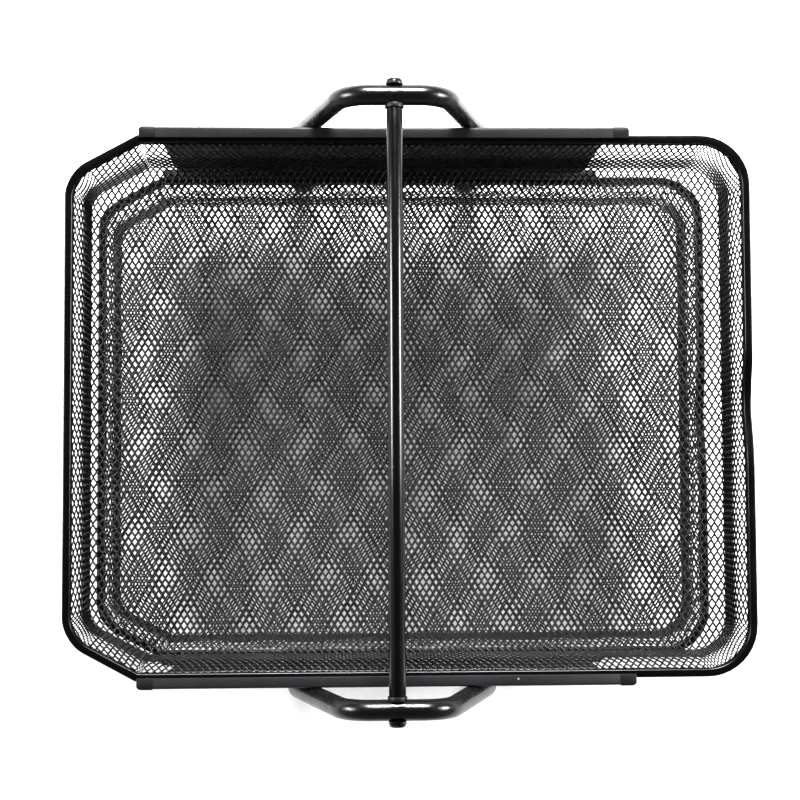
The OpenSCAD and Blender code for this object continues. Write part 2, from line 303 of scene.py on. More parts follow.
# acetal glides: slippery, smooth, a little grey
glidePlastic = mouldedPlastic("acetalGlides", {"dark": "#343437", "light": "#3e3e41", "grain": 0.6,
                                               "smooth": 0.28, "rough": 0.38, "lift": 0.15, "ior": 1.48})
# rubber feet: matt and dusty
footRubber = mouldedPlastic("mouldedRubber", {"dark": "#0f0f10", "light": "#1b1b1c", "grain": 0.4,
                                              "smooth": 0.7, "rough": 0.85, "lift": 0.6, "ior": 1.52})
screwSteel = blackOxide("blackOxideSteel", {"dark": "#2b2b2e", "light": "#6a6a70", "rub": 1.5,
                                            "smooth": 0.25, "rough": 0.42})
print("materials made")


# trays: folded rim and expanded-metal basket

tray = {
    "frontRadius": 26 * mm, "rearCutLength": 37 * mm, "rearCutWidth": 20 * mm,
    "rearRadius": 20 * mm, "bendRadius": 6 * mm, "dipLength": 64 * mm, "dipDepth": 5 * mm,
}
rim = {"width": 4 * mm, "edge": 0.7 * mm, "edgeSteps": 3, "edgeAngle": 50,
       "cornerSteps": 10, "bendSteps": 4, "frontCuts": 84, "frontBand": 1.5}  # the band in rim widths
basket = {
    "shortWay": 3.65 * mm, "longWay": 6.33 * mm, "bond": 0.6 * mm, "strand": 1.02 * mm, "sheet": 1.1 * mm,
    "floorBend": 3 * mm, "wallAngle": 90, "flareAngle": 60, "flareLength": 14 * mm, "hiddenAngle": 82,
    "topDrop": 0.8 * mm, "dipReach": 24 * mm, "sideTaper": 0.983, "frontBand": 12 * mm,
    "wander": 0.45 * mm, "wanderLengths": (61 * mm, 97 * mm, 43 * mm), "wanderStarts": (1.1, 0.4),
    "leastRadius": 0.5 * mm, "step": 0.1 * mm,
}


def trayCorners(lo, hi):
    # corners of the plan, counter-clockwise, each with its radius
    cut, wide = tray["rearCutLength"], tray["rearCutWidth"]
    return [
        (Vector((hi.x, lo.y)), tray["frontRadius"]), (Vector((hi.x, hi.y)), tray["frontRadius"]),
        (Vector((lo.x + cut, hi.y)), tray["bendRadius"]), (Vector((lo.x, hi.y - wide)), tray["rearRadius"]),
        (Vector((lo.x, lo.y + wide)), tray["rearRadius"]), (Vector((lo.x + cut, lo.y)), tray["bendRadius"]),
    ]


def dipAt(y):
    # how far the finger dip lowers the front edge at y
    half = tray["dipLength"] / 2
    inside = np.abs(y) < half
    return np.where(inside, tray["dipDepth"] * (1 + np.cos(math.pi * y / half)) / 2, 0.0)


def makeRim(name, node):
    lo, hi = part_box(node)
    cut, wide = tray["rearCutLength"], tray["rearCutWidth"]
    deselectAll()
    bpy.ops.mesh.primitive_plane_add(size=1, location=((lo.x + cut + hi.x) / 2, 0, hi.z))
    piece = bpy.context.object
    piece.name = name
    piece.scale = (hi.x - lo.x - cut, hi.y - lo.y, 1)
    placeInMesh(piece)
    # the narrowing back
    selectParts(piece, "EDGE", lambda c: all(p.x < lo.x + cut + mm for p in c))
    extrudeBy(-cut, 0, 0)
    bpy.ops.transform.resize(value=(1, 1 - 2 * wide / (hi.y - lo.y), 1))
    leaveEdit()
    selectParts(piece, "EDGE", lambda c: all(abs(p.x - lo.x - cut) < near for p in c))
    bpy.ops.mesh.dissolve_edges(use_verts=False)
    leaveEdit()
    # round the corners, each from the radius and the turn there
    turnAtCut = math.atan2(wide, cut)
    kinds = [
        (lambda p: p.x > hi.x - mm, tray["frontRadius"], math.pi / 2, rim["cornerSteps"]),
        (lambda p: abs(p.x - lo.x - cut) < mm, tray["bendRadius"], turnAtCut, rim["bendSteps"]),
        (lambda p: p.x < lo.x + mm, tray["rearRadius"], math.pi / 2 - turnAtCut, rim["cornerSteps"]),
    ]
    for isHere, radius, turn, steps in kinds:
        selectParts(piece, "VERT", lambda c, isHere=isHere: isHere(c[0]))
        bpy.ops.mesh.bevel(offset_type="OFFSET", offset=radius * math.tan(turn / 2), segments=steps,
                           profile=0.5, affect="VERTICES")
        leaveEdit()
    selectParts(piece, "EDGE", lambda c: all(p.x > hi.x - near for p in c))
    bpy.ops.mesh.subdivide(number_cuts=rim["frontCuts"])
    bpy.ops.mesh.select_all(action="SELECT")
    bpy.ops.mesh.inset(thickness=rim["width"], depth=0)
    bpy.ops.mesh.delete(type="FACE")
    leaveEdit()
    editAll(piece)
    extrudeBy(0, 0, lo.z + tray["dipDepth"] - hi.z)
    leaveEdit()
    tidyNormals(piece)
    roundEdges(piece, rim["edge"], rim["edgeSteps"], rim["edgeAngle"])
    for vertex in piece.data.vertices:
        if vertex.co.x > hi.x - rim["frontBand"] * rim["width"]:
            vertex.co.z -= float(dipAt(np.array(vertex.co.y)))
    smoothByAngle(piece)
    return piece


def outlineFeatures(corners, inset):
    # straight stretches and arcs of the plan moved inwards: the flat floor's edge
    count = len(corners)
    arcs = []
    for k in range(count):
        before, (here, radius), after = corners[k - 1][0], corners[k], corners[(k + 1) % count][0]
        u, v = (here - before).normalized(), (after - here).normalized()
        turn = math.acos(max(-1, min(1, u.dot(v))))
        into = (Vector((-u.y, u.x)) + Vector((-v.y, v.x))).normalized()
        small = max(radius - inset, basket["leastRadius"])
        corner = here + into * inset / math.cos(turn / 2)
        centre = corner + into * small / math.cos(turn / 2)
        arcs.append({"centre": centre, "radius": small, "turn": turn,
                     "from": Vector((u.y, -u.x)), "to": Vector((v.y, -v.x))})
    lines = []
    for k in range(count):
        first, last = arcs[k], arcs[(k + 1) % count]
        start = first["centre"] + first["to"] * first["radius"]
        end = last["centre"] + last["from"] * last["radius"]
        lines.append({"start": start, "end": end, "normal": first["to"]})
    return arcs, lines


def beyondOutline(xy, arcs, lines):
    # distance outside the outline, its nearest point and its outward normal, for every point
    slack = 1e-9  # keeps points on an arc's very end
    best = np.full(len(xy), -1.0)
    foot = xy.copy()
    normal = np.zeros_like(xy)
    for line in lines:
        start, end, out = (np.array(line[k]) for k in ("start", "end", "normal"))
        along = (end - start) / np.linalg.norm(end - start)
        t = (xy - start) @ along
        away = (xy - start) @ out
        here = (t >= 0) & (t <= np.linalg.norm(end - start)) & (away > 0)
        best[here] = away[here]
        normal[here] = out
        foot[here] = xy[here] - away[here, None] * out
    for arc in arcs:
        centre = np.array(arc["centre"])
        rel = xy - centre
        far = np.linalg.norm(rel, axis=1)
        middle = np.array((arc["from"] + arc["to"]).normalized())
        here = (far > arc["radius"]) & ((rel @ middle) >= far * math.cos(arc["turn"] / 2) - slack)
        here &= best < 0
        unit = rel[here] / far[here, None]
        best[here] = far[here] - arc["radius"]
        normal[here] = unit
        foot[here] = centre + unit * arc["radius"]
    return best, foot, normal


def wallProfile(floorZ, rimBottom, rimTop):
    # the wall's path from the floor's edge: distance walked, outward, upward and slope at fine steps
    step = basket["step"]
    steep, flare, hidden = (math.radians(basket[k]) for k in ("wallAngle", "flareAngle", "hiddenAngle"))
    walked, out, up, slope = [0.0], [0.0], [0.0], [0.0]
    flareRise = basket["flareLength"] * math.sin((steep + flare) / 2)
    while up[-1] < rimTop - basket["topDrop"] - floorZ:
        s, z = walked[-1], up[-1]
        if s < basket["floorBend"] * steep:
            angle = s / basket["floorBend"]
        elif z < rimBottom - floorZ - flareRise:
            angle = steep
        elif z < rimBottom - floorZ:
            angle = steep + (flare - steep) * (z - (rimBottom - floorZ - flareRise)) / flareRise
        else:
            angle = hidden
        walked.append(s + step)
        out.append(out[-1] + step * math.cos(angle))
        up.append(z + step * math.sin(angle))
        slope.append(angle)
    outAtRim = float(np.interp(rimBottom - floorZ, up, out))
    return np.array(walked), np.array(out), np.array(up), np.array(slope), outAtRim


def makeTile():
    # one opening of the expanded sheet: a hexagon whose strands are raised to a ridge between openings
    halfShort, halfLong, halfBond = basket["shortWay"] / 2, basket["longWay"] / 2, basket["bond"] / 2
    tip = halfLong - halfBond
    deselectAll()
    bpy.ops.mesh.primitive_circle_add(vertices=6, radius=1, fill_type="NGON", location=(0, 0, 0))
    tile = bpy.context.object
    tile.name = "opening"
    shoulder = 0.5  # a six-sided circle's shoulders stand half as high as its tips
    selectParts(tile, "VERT", lambda c: abs(c[0].x) > near)
    bpy.ops.transform.resize(value=(1, halfBond / (shoulder * tip), 1))
    leaveEdit()
    flat = math.cos(math.radians(30))  # and its flats lie this far out
    tile.scale = (halfShort / flat, tip, 1)
    placeInMesh(tile)
    editAll(tile)
    bpy.ops.mesh.inset(thickness=basket["strand"] / 2, depth=-basket["sheet"] / 2)
    bpy.ops.mesh.delete(type="FACE")
    bpy.ops.mesh.select_all(action="SELECT")
    bpy.ops.transform.translate(value=(0, 0, basket["sheet"] / 2))
    leaveEdit()
    # the underside mirrors the top
    editAll(tile)
    bpy.ops.mesh.duplicate()
    bpy.ops.transform.resize(value=(1, 1, -1), center_override=(0, 0, 0))
    bpy.ops.mesh.flip_normals()
    bpy.ops.mesh.select_all(action="SELECT")
    bpy.ops.mesh.duplicate_move(TRANSFORM_OT_translate={"value": (halfShort, halfLong, 0)})
    leaveEdit()
    return tile


def makeSheet(lo, hi, reach):
    # the pair of openings repeated over the blank, with room for the walls
    sheet = makeTile()
    facesPerTile = len(sheet.data.polygons) // 2
    spanX, spanY = hi.x - lo.x + 2 * reach, hi.y - lo.y + 2 * reach
    countX, countY = math.ceil(spanX / basket["shortWay"]), math.ceil(spanY / basket["longWay"])
    for count, offset in ((countX, (basket["shortWay"], 0, 0)), (countY, (0, basket["longWay"], 0))):
        array = sheet.modifiers.new("repeat", "ARRAY")
        array.use_relative_offset = False
        array.use_constant_offset = True
        array.constant_offset_displace = offset
        array.count = count
    applyModifiers(sheet)
    shiftMesh(sheet, ((lo.x + hi.x) / 2 - (countX - 1) * basket["shortWay"] / 2,
                      -(countY - 0.5) * basket["longWay"] / 2, 0))
    return sheet, facesPerTile


def keepTiles(sheet, facesPerTile, name, keep):
    piece = copyPiece(sheet, name)
    mesh = piece.data
    centres = np.zeros(len(mesh.polygons) * 3)
    mesh.polygons.foreach_get("center", centres)
    tiles = centres.reshape(-1, facesPerTile, 3).mean(axis=1)
    wanted = np.repeat(keep(tiles[:, :2]), facesPerTile)
    activate(piece)
    mesh.vertices.foreach_set("select", [False] * len(mesh.vertices))
    mesh.edges.foreach_set("select", [False] * len(mesh.edges))
    mesh.polygons.foreach_set("select", ~wanted)
    bpy.ops.object.mode_set(mode="EDIT")
    bpy.ops.mesh.select_mode(type="FACE")
    bpy.ops.mesh.delete(type="FACE")
    bpy.ops.mesh.select_all(action="SELECT")
    bpy.ops.mesh.remove_doubles(threshold=near)
    leaveEdit()
    closeCutEdges(piece)
    return piece


def closeCutEdges(piece):
    # where the sheet was cut, a wall joins the upper ridge to the lower one
    mesh = piece.data
    used = np.zeros(len(mesh.loops), dtype=int)
    mesh.loops.foreach_get("edge_index", used)
    faceCount = np.bincount(used, minlength=len(mesh.edges))
    ends = np.zeros(len(mesh.edges) * 2, dtype=int)
    mesh.edges.foreach_get("vertices", ends)
    ends = ends.reshape(-1, 2)
    points = np.zeros(len(mesh.vertices) * 3)
    mesh.vertices.foreach_get("co", points)
    heights = points.reshape(-1, 3)[:, 2]
    upper = (faceCount == 1) & (heights[ends].min(axis=1) > near)
    chosen = np.zeros(len(mesh.vertices), dtype=bool)
    chosen[ends[upper].ravel()] = True
    activate(piece)
    mesh.polygons.foreach_set("select", [False] * len(mesh.polygons))
    mesh.vertices.foreach_set("select", chosen)
    mesh.edges.foreach_set("select", upper)
    bpy.ops.object.mode_set(mode="EDIT")
    bpy.ops.mesh.select_mode(type="EDGE")
    bpy.ops.mesh.extrude_edges_move(TRANSFORM_OT_translate={"value": (0, 0, -basket["sheet"])})
    bpy.ops.mesh.select_all(action="SELECT")
    bpy.ops.mesh.remove_doubles(threshold=near)
    bpy.ops.mesh.normals_make_consistent(inside=False)
    leaveEdit()


def foldUp(piece, arcs, lines, profile, floorZ, rimTop, frontX):
    mesh = piece.data
    points = np.zeros(len(mesh.vertices) * 3)
    mesh.vertices.foreach_get("co", points)
    points = points.reshape(-1, 3)
    # rolled and stretched sheet is never quite even
    first, second, third = (2 * math.pi / length for length in basket["wanderLengths"])
    startX, startY = basket["wanderStarts"]
    x, y = points[:, 0].copy(), points[:, 1].copy()
    points[:, 0] += basket["wander"] * (np.sin(first * y + startX) + np.sin(second * x - third * y)) / 2
    points[:, 1] += basket["wander"] * (np.sin(second * x + startY) + np.sin(third * x + first * y)) / 2
    beyond, foot, normal = beyondOutline(points[:, :2], arcs, lines)
    walked, out, up, slope, _ = profile
    onWall = beyond > 0
    s = np.clip(beyond, 0, walked[-1])
    lift = points[:, 2].copy()
    angle = np.interp(s, walked, slope)
    outward = np.interp(s, walked, out) - lift * np.sin(angle)
    height = floorZ + np.interp(s, walked, up) + lift * np.cos(angle)
    points[onWall, :2] = foot[onWall] + normal[onWall] * outward[onWall, None]
    points[onWall, 2] = height[onWall]
    points[~onWall, 2] = floorZ + lift[~onWall]
    # the long sides lean out a little more than the ends
    risen = np.clip((points[:, 2] - floorZ) / (rimTop - floorZ), 0, 1)
    points[:, 1] *= basket["sideTaper"] + (1 - basket["sideTaper"]) * risen
    # the front wall is pressed down under the finger dip
    share = np.clip((points[:, 2] - rimTop + basket["dipReach"]) / basket["dipReach"], 0, 1)
    share = share * share * (3 - 2 * share)
    atFront = points[:, 0] > frontX - basket["frontBand"]
    points[:, 2] -= np.where(atFront, dipAt(points[:, 1]) * share, 0)
    mesh.vertices.foreach_set("co", points.ravel())
    mesh.update()


def makeBasket(tier):
    rimLo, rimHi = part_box(tier + "_tray_rim")
    meshLo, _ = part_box(tier + "_tray_mesh")
    corners = trayCorners(rimLo, rimHi)
    floorZ = meshLo.z + basket["sheet"] / 2
    profile = wallProfile(floorZ, rimLo.z + tray["dipDepth"], rimHi.z)
    inset = rim["width"] + profile[4]
    arcs, lines = outlineFeatures(corners, inset)
    wallLength = profile[0][-1]
    border = Vector((inset, inset, 0))
    sheet, facesPerTile = makeSheet(rimLo + border, rimHi - border, wallLength)
    lastTile = wallLength - basket["longWay"] / 2

    def onFloor(xy):
        return beyondOutline(xy, arcs, lines)[0] <= 0

    def onWalls(xy):
        beyond = beyondOutline(xy, arcs, lines)[0]
        return (beyond > 0) & (beyond < lastTile)

    made = []
    for part, keep in (("floor", onFloor), ("walls", onWalls)):
        piece = keepTiles(sheet, facesPerTile, tier + "_mesh_" + part, keep)
        foldUp(piece, arcs, lines, profile, floorZ, rimHi.z, rimHi.x)
        activate(piece)
        bpy.ops.object.shade_smooth()
        made.append(piece)
        print(piece.name, len(piece.data.polygons), "faces")
    bpy.data.objects.remove(sheet)
    return made


upperRim = makeRim("upper_rim", "upper_tray_rim")
upperBasket = makeBasket("upper")
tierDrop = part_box("lower_tray_rim")[1].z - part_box("upper_tray_rim")[1].z
for tier in ("upper", "lower"):
    pieces = [upperRim] + upperBasket
    if tier == "lower":
        pieces = [copyPiece(p, p.name.replace("upper", "lower")) for p in pieces]
        # the upper tray moved down and mirrored, so the two meshes' unevenness doesn't line up
        for piece in pieces:
            shiftMesh(piece, (0, 0, tierDrop))
            crossOver(piece)
            piece.data.flip_normals()
    body = tier + "_tray"
    finishPiece(pieces[0], rimCoat, "rim_steel", body, tier + "_tray_rim")
    for piece in pieces[1:]:
        finishPiece(piece, meshCoat, "mesh_steel", body, tier + "_tray_mesh")
print("trays made")


# rails, caps, glides and side panels

def makeChannel(name, lo, hi, thick, side):
    # a channel along X: the web stands on the outside and two lips reach in over the rim
    web = hi.y - thick if side > 0 else lo.y + thick
    outer = hi.y if side > 0 else lo.y
    piece = makeBlock(name, ((lo.x + hi.x) / 2, (outer + web) / 2, (lo.z + hi.z) / 2),
                      (hi.x - lo.x, thick, hi.z - lo.z))
    for z in (lo.z + thick, hi.z - thick):
        editAll(piece)
        bpy.ops.mesh.bisect(plane_co=(0, 0, z), plane_no=(0, 0, 1))
        leaveEdit()
    reach = (web - lo.y) if side > 0 else (hi.y - web)

    def isLip(c):
        inner = all(abs(p.y - web) < near for p in c)
        high = all(p.z > hi.z - thick - near for p in c)
        low = all(p.z < lo.z + thick + near for p in c)
        return inner and (high or low)

    selectParts(piece, "FACE", isLip)
    extrudeBy(0, -side * reach, 0)
    leaveEdit()
    tidyNormals(piece)
    return piece


rail = {"sheet": 1.5 * mm, "fold": 1.1 * mm, "foldSteps": 4, "lipEdge": 0.35 * mm}


def makeRail(tier, sideName):
    side = 1 if sideName == "left" else -1
    lo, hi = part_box(f"{tier}_{sideName}_rail")
    piece = makeChannel(f"{tier}_{sideName}_rail_channel", lo, hi, rail["sheet"], side)
    outer = hi.y if side > 0 else lo.y
    bevelEdges(piece, rail["fold"], rail["foldSteps"],
               lambda c: all(abs(p.y - outer) < near for p in c)
               and abs(c[0].x - c[1].x) > mm and min(abs(c[0].z - hi.z), abs(c[0].z - lo.z)) < near)
    roundEdges(piece, rail["lipEdge"])
    smoothByAngle(piece)
    finishPiece(piece, railCoat, "rail_steel", "frame", f"{tier}_{sideName}_rail")


cap = {"wall": 1.75 * mm, "corner": 2.4 * mm, "cornerSteps": 5, "edge": 0.45 * mm, "trim": 0.35 * mm}


def makeCap(tier, sideName, end):
    # a moulded channel a little smaller than its solid, sleeved over the rail's end
    side = 1 if sideName == "left" else -1
    node = f"{tier}_{sideName}_{end}_cap"
    lo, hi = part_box(node)
    lo.z += cap["trim"]
    hi.z -= cap["trim"]
    if side > 0:
        hi.y -= cap["trim"]
    else:
        lo.y += cap["trim"]
    piece = makeChannel(node + "_moulding", lo, hi, cap["wall"], side)
    outerY = hi.y if side > 0 else lo.y
    outerX = hi.x if end == "front" else lo.x
    bevelEdges(piece, cap["corner"], cap["cornerSteps"],
               lambda c: all(abs(p.y - outerY) < near and abs(p.x - outerX) < near for p in c))
    roundEdges(piece, cap["edge"])
    smoothByAngle(piece)
    finishPiece(piece, capPlastic, "black_plastic", "frame", node)


glide = {"ramp": 0.9 * mm, "rampSteps": 4, "edge": 0.2 * mm, "edgeAngle": 50}


def makeGlide(tier, sideName):
    node = f"{tier}_{sideName}_glide"
    lo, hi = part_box(node)
    piece = makeBlock(node + "_strip", (lo + hi) / 2, hi - lo)
    # ramped ends that ride up into the rail
    side = 1 if sideName == "left" else -1
    outerY = hi.y if side > 0 else lo.y
    bevelEdges(piece, glide["ramp"], glide["rampSteps"],
               lambda c: all(abs(p.y - outerY) < near for p in c) and abs(c[0].x - c[1].x) < near)
    roundEdges(piece, glide["edge"], angle=glide["edgeAngle"])
    smoothByAngle(piece)
    finishPiece(piece, glidePlastic, "glide_plastic", tier + "_tray", node)


panel = {"corner": 2 * mm, "cornerSteps": 6, "edge": 0.35 * mm, "edgeSteps": 3}


def makePanel(sideName):
    # a plain flat sheet with rounded corners and edges
    node = sideName + "_side_panel"
    lo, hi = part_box(node)
    piece = makeBlock(node + "_sheet", (lo + hi) / 2, hi - lo)
    bevelEdges(piece, panel["corner"], panel["cornerSteps"], lambda c: abs(c[0].y - c[1].y) > near)
    roundEdges(piece, panel["edge"], panel["edgeSteps"])
    smoothByAngle(piece)
    finishPiece(piece, panelCoat, "side_panel", "frame", node)


for sideName in ("left", "right"):
    makePanel(sideName)
for tier in ("lower", "upper"):
    for sideName in ("left", "right"):
        makeRail(tier, sideName)
        makeGlide(tier, sideName)
        for end in ("front", "rear"):
            makeCap(tier, sideName, end)
print("rails, caps, glides and side panels made")


# side frames: one bent tube each, on rubber feet

tube = {"radius": 5 * mm, "sides": 40, "shoulderBend": 40 * mm, "archBend": 16 * mm, "bendSteps": 14,
        "archHalf": 24 * mm, "legHalf": 50 * mm, "shoulderDrop": 87 * mm,
        "archRings": 26, "pinch": 0.55 * mm, "pinchLength": 3.4 * mm, "pinchReach": 4, "crownReach": 1.2,
        "smoothAngle": 50}  # pinchReach is in pinch lengths, crownReach in tube radii


def makeSideFrame():
    lo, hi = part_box("left_side_frame")
    y = (lo.y + hi.y) / 2
    middle = (lo.x + hi.x) / 2
    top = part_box("handle_rod")
    topZ = (top[0].z + top[1].z) / 2
    shoulderZ = topZ - tube["shoulderDrop"]
    path = [Vector((middle - tube["legHalf"], y, lo.z)), Vector((middle - tube["legHalf"], y, shoulderZ)),
            Vector((middle - tube["archHalf"], y, topZ)), Vector((middle + tube["archHalf"], y, topZ)),
            Vector((middle + tube["legHalf"], y, shoulderZ)), Vector((middle + tube["legHalf"], y, lo.z))]
    bends = [0, tube["shoulderBend"], tube["archBend"], tube["archBend"], tube["shoulderBend"], 0]
    deselectAll()
    bpy.ops.mesh.primitive_circle_add(vertices=tube["sides"], radius=tube["radius"], fill_type="NOTHING",
                                      location=path[0])
    piece = bpy.context.object
    piece.name = "left_bent_tube"
    placeInMesh(piece)
    editAll(piece)
    here = path[0]
    for i in range(1, len(path)):
        way = (path[i] - path[i - 1]).normalized()
        if i == len(path) - 1:
            cut = 0
        else:
            onward = (path[i + 1] - path[i]).normalized()
            turn = way.angle(onward)
            cut = bends[i] * math.tan(turn / 2)
        target = path[i] - way * cut
        # the level crown is cut finely, for the dent at its middle
        rings = tube["archRings"] if path[i].z == path[i - 1].z else 1
        for _ in range(rings):
            extrudeBy(*((target - here) / rings))
        if cut:
            across = (onward - way).normalized()
            centre = path[i] + across * bends[i] / math.cos(turn / 2)
            bpy.ops.mesh.spin(steps=tube["bendSteps"], angle=-turn, center=centre, axis=(0, 1, 0))
            here = path[i] + onward * cut
        else:
            here = target
    leaveEdit()
    selectParts(piece, "VERT", lambda c: c[0].z < lo.z + near)
    bpy.ops.mesh.select_mode(type="EDGE")
    bpy.ops.mesh.edge_face_add()
    leaveEdit()
    return piece, middle, topZ, y


def dentAtScrew(piece, middle, topZ):
    # the screw pulls the tube wall in, so its crown dips where it is clamped
    for vertex in piece.data.vertices:
        atCrown = abs(vertex.co.z - topZ) < tube["crownReach"] * tube["radius"]
        if atCrown and abs(vertex.co.x - middle) < tube["pinchReach"] * tube["pinchLength"]:
            share = math.exp(-((vertex.co.x - middle) / tube["pinchLength"]) ** 2)
            vertex.co.z -= (vertex.co.z - topZ) / tube["radius"] * tube["pinch"] * share


leftTube, archX, archZ, archY = makeSideFrame()
dentAtScrew(leftTube, archX, archZ)
tidyNormals(leftTube)
smoothByAngle(leftTube, tube["smoothAngle"])
rightTube = copyPiece(leftTube, "right_bent_tube")
crossOver(rightTube)
tidyNormals(rightTube)
smoothByAngle(rightTube, tube["smoothAngle"])
finishPiece(leftTube, tubeCoat, "frame_tube", "frame", "left_side_frame")
finishPiece(rightTube, tubeCoat, "frame_tube", "frame", "right_side_frame")


foot = {"sides": 48, "wall": 1.6 * mm, "floor": 2.5 * mm, "edge": 0.9 * mm, "edgeSteps": 4,
        "lipEdge": 0.4 * mm, "lipSteps": 3}


def makeFoot(node):
    # a moulded cup pushed over the tube's end
    lo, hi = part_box(node)
    middle = (lo + hi) / 2
    outer = (hi.x - lo.x) / 2
    deselectAll()
    bpy.ops.mesh.primitive_circle_add(vertices=foot["sides"], radius=outer, fill_type="NGON",
                                      location=(middle.x, middle.y, lo.z))
    piece = bpy.context.object
    piece.name = node + "_cup"
    placeInMesh(piece)
    editAll(piece)
    extrudeBy(0, 0, hi.z - lo.z)
    bpy.ops.mesh.inset(thickness=foot["wall"], depth=0)
    extrudeBy(0, 0, lo.z + foot["floor"] - hi.z)
    leaveEdit()
    tidyNormals(piece)
    bevelEdges(piece, foot["edge"], foot["edgeSteps"], lambda c: all(p.z < lo.z + near for p in c))
    bevelEdges(piece, foot["lipEdge"], foot["lipSteps"],
               lambda c: all(p.z > hi.z - near and (p.xy - middle.xy).length > outer - near for p in c))
    smoothByAngle(piece)
    finishPiece(piece, footRubber, "foot_rubber", "frame", node)


for sideName in ("left", "right"):
    for end in ("front", "rear"):
        makeFoot(f"{sideName}_{end}_foot")
print("side frames and feet made")


# handle: rod, collars and screws

handle = {"endEdge": 0.5 * mm, "endSteps": 3, "sides": 56}


def makeRod():
    lo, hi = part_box("handle_rod")
    radius = (hi.x - lo.x) / 2
    deselectAll()
    bpy.ops.mesh.primitive_cylinder_add(vertices=handle["sides"], radius=radius, depth=hi.y - lo.y,
                                        location=(lo + hi) / 2, rotation=(math.pi / 2, 0, 0))
    piece = bpy.context.object
    piece.name = "handle_bar"
    placeInMesh(piece)
    bevelEdges(piece, handle["endEdge"], handle["endSteps"], lambda c: abs(c[0].y - c[1].y) < near)
    smoothByAngle(piece)
    finishPiece(piece, rodCoat, "handle_rod", "frame", "handle_rod")
    return (lo.x + hi.x) / 2, (lo.z + hi.z) / 2


collar = {"radius": 4.6 * mm, "thick": 1.5 * mm, "lap": 0.8 * mm, "hole": 0.55, "edge": 0.25 * mm,
          "sides": 64, "cuts": 2, "saddle": 0.999}  # hole is in rod radii, saddle in tube radii


def makeCollar(name, middleX, middleZ, side):
    # a thin moulded washer whose outer face is hollowed to sit on the round tube
    outer = collar["radius"]
    rodLo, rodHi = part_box("handle_rod")
    bore = (rodHi.x - rodLo.x) / 2
    start = rodHi.y
    reach = start + collar["thick"] + collar["lap"]
    deselectAll()
    bpy.ops.mesh.primitive_circle_add(vertices=collar["sides"], radius=outer, fill_type="NOTHING",
                                      location=(middleX, start, middleZ), rotation=(math.pi / 2, 0, 0))
    piece = bpy.context.object
    piece.name = name
    placeInMesh(piece)
    editAll(piece)
    bpy.ops.mesh.edge_face_add()
    bpy.ops.mesh.inset(thickness=outer - bore * collar["hole"], depth=0)
    bpy.ops.mesh.delete(type="FACE")
    bpy.ops.mesh.select_all(action="SELECT")
    bpy.ops.mesh.subdivide(number_cuts=collar["cuts"])
    bpy.ops.mesh.select_all(action="SELECT")
    extrudeBy(0, reach - start, 0)
    leaveEdit()
    tidyNormals(piece)
    # the saddle follows the tube's round wall
    for vertex in piece.data.vertices:
        if vertex.co.y > reach - near:
            drop = min(abs(vertex.co.z - middleZ), tube["radius"] * collar["saddle"])
            wallY = archY - math.sqrt(tube["radius"] ** 2 - drop ** 2)
            vertex.co.y = min(wallY, reach)
    roundEdges(piece, collar["edge"])
    smoothByAngle(piece)
    if side < 0:
        crossOver(piece)
        tidyNormals(piece)
    return piece


screw = {"headTall": 2.8 * mm, "headTop": 0.8, "edge": 0.45 * mm, "edgeSteps": 4, "sides": 48, "turn": 20,
         "recessLong": 5 * mm, "recessWide": 1.1 * mm, "recessDeep": 1.6 * mm, "cutterProud": 1 * mm,
         "smoothAngle": 35}  # headTop is the top's share of the width


def makeScrew(name, middleX, middleZ, side):
    # pan head with a cross recess
    lo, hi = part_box("handle_screws")
    outer = (hi.x - lo.x) / 2
    tall = screw["headTall"]
    baseY = hi.y - tall
    deselectAll()
    bpy.ops.mesh.primitive_circle_add(vertices=screw["sides"], radius=outer, fill_type="NGON",
                                      location=(middleX, baseY, middleZ), rotation=(math.pi / 2, 0, 0))
    piece = bpy.context.object
    piece.name = name
    placeInMesh(piece)
    editAll(piece)
    for _ in range(2):
        extrudeBy(0, tall / 2, 0)
    share = screw["headTop"]
    bpy.ops.transform.resize(value=(share, 1, share), center_override=(middleX, hi.y, middleZ))
    leaveEdit()
    tidyNormals(piece)
    bevelEdges(piece, screw["edge"], screw["edgeSteps"],
               lambda c: all(p.y > baseY + near for p in c) and abs(c[0].y - c[1].y) < near)
    if side < 0:
        crossOver(piece)
        tidyNormals(piece)
    # the recess is cut by two crossed blocks that stand proud of the head
    cutters = []
    cutY = side * (hi.y - screw["recessDeep"] / 2 + screw["cutterProud"] / 2)
    for turn in (0, 90):
        bpy.ops.mesh.primitive_cube_add(size=1, location=(middleX, cutY, middleZ),
                                        rotation=(0, math.radians(turn + screw["turn"] * side), 0))
        cutter = bpy.context.object
        cutter.scale = (screw["recessLong"], screw["recessDeep"] + screw["cutterProud"], screw["recessWide"])
        placeInMesh(cutter)
        cutters.append(cutter)
    for cutter in cutters:
        cut = piece.modifiers.new("recess", "BOOLEAN")
        cut.object = cutter
        cut.operation = "DIFFERENCE"
        cut.solver = "EXACT"
    applyModifiers(piece)
    for cutter in cutters:
        bpy.data.objects.remove(cutter)
    smoothByAngle(piece, screw["smoothAngle"])
    return piece


rodX, rodZ = makeRod()
collars = [makeCollar(n + "_collar", rodX, rodZ, s) for n, s in (("left", 1), ("right", -1))]
screws = [makeScrew(n + "_handle_screw", rodX, rodZ, s) for n, s in (("left", 1), ("right", -1))]
for piece in collars:
    finishPiece(piece, capPlastic, "black_plastic", "frame", "handle_collars")
for piece in screws:
    finishPiece(piece, screwSteel, "screw_steel", "frame", "handle_screws")
for node in ("lower_rail_screws", "upper_rail_screws"):
    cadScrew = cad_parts[node]
    if not cadScrew.material_slots:
        cadScrew.data.materials.append(screwSteel)
    for materialSlot in cadScrew.material_slots:
        materialSlot.material = screwSteel
print("handle made")


# floor, light and camera

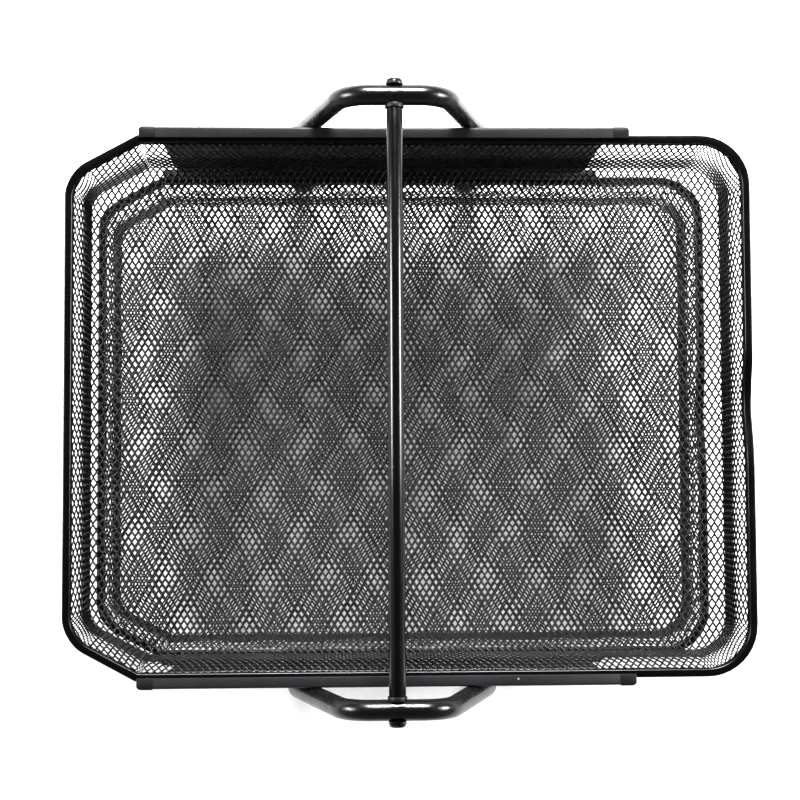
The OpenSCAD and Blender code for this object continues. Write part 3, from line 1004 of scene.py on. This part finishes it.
stage = {"floorSize": 60.0, "grain": 30, "dark": "#f3f3f3", "light": "#f6f6f6", "rough": 0.8}
floorMaterial, floorTree, floorShader, floorPlace = newMaterial("paperSweep")
floorGrain = addNode(floorTree, "ShaderNodeTexNoise", {"Scale": 1 / (stage["grain"] * mm), "Detail": 2.0},
                     {"Vector": floorPlace})
floorTone = addNode(floorTree, "ShaderNodeMix",
                    {"data_type": "RGBA", 6: linearColour(stage["dark"]), 7: linearColour(stage["light"])},
                    {0: floorGrain.outputs["Fac"]}).outputs[2]
floorTree.links.new(floorTone, floorShader.inputs["Base Color"])
floorShader.inputs["Roughness"].default_value = stage["rough"]
deselectAll()
bpy.ops.mesh.primitive_plane_add(size=stage["floorSize"], location=(0, 0, 0))
floor = bpy.context.object
floor.name = "studio_floor"
floor.data.materials.append(floorMaterial)

light = {"horizon": 0.62, "zenith": 0.03, "dimAbove": 0.9, "power": {"key": 66, "left": 24, "right": 30},
         "place": {"key": (0.05, 1.35, 1.25), "left": (-1.45, 0.25, 0.95), "right": (1.45, 0.25, 0.95)},
         "size": {"key": 0.7, "left": 0.6, "right": 0.6}, "aim": (0, 0, 0.1)}
world = bpy.data.worlds.new("softRoom")
bpy.context.scene.world = world
world.use_nodes = True
sky = world.node_tree
sky.nodes.clear()
direction = addNode(sky, "ShaderNodeTexCoord").outputs["Generated"]
parts = addNode(sky, "ShaderNodeSeparateXYZ", links={0: direction})
rise = addNode(sky, "ShaderNodeMapRange",
               {"From Min": 0.0, "From Max": light["dimAbove"],
                "To Min": light["horizon"], "To Max": light["zenith"]}, {"Value": parts.outputs["Z"]})
glow = addNode(sky, "ShaderNodeBackground", {"Color": (1, 1, 1, 1)}, {"Strength": rise.outputs["Result"]})
addNode(sky, "ShaderNodeOutputWorld", links={"Surface": glow.outputs["Background"]})


def makeLamp(name, place, size, power):
    data = bpy.data.lights.new(name, "AREA")
    data.size = size
    data.energy = power
    lamp = bpy.data.objects.new(name, data)
    lamp.location = place
    lamp.rotation_euler = (Vector(light["aim"]) - Vector(place)).to_track_quat("-Z", "Y").to_euler()
    bpy.context.scene.collection.objects.link(lamp)


for lampName, power in light["power"].items():
    makeLamp(lampName + "_softbox", light["place"][lampName], light["size"][lampName], power)

view = {"lens": 70.5, "sensor": 36.0, "place": (-0.0311, -0.0425, 0.9587), "tilt": 0.0567, "roll": -0.0320,
        "spin": -0.0054}
cameraData = bpy.data.cameras.new("camera")
cameraData.lens = view["lens"]
cameraData.sensor_width = view["sensor"]
camera = bpy.data.objects.new("camera", cameraData)
camera.location = view["place"]
camera.rotation_euler = (view["tilt"], view["roll"], view["spin"])
bpy.context.scene.collection.objects.link(camera)
bpy.context.scene.camera = camera
bpy.context.scene.view_settings.view_transform = "Standard"
bpy.context.scene.view_settings.look = "High Contrast"
print("stage ready")
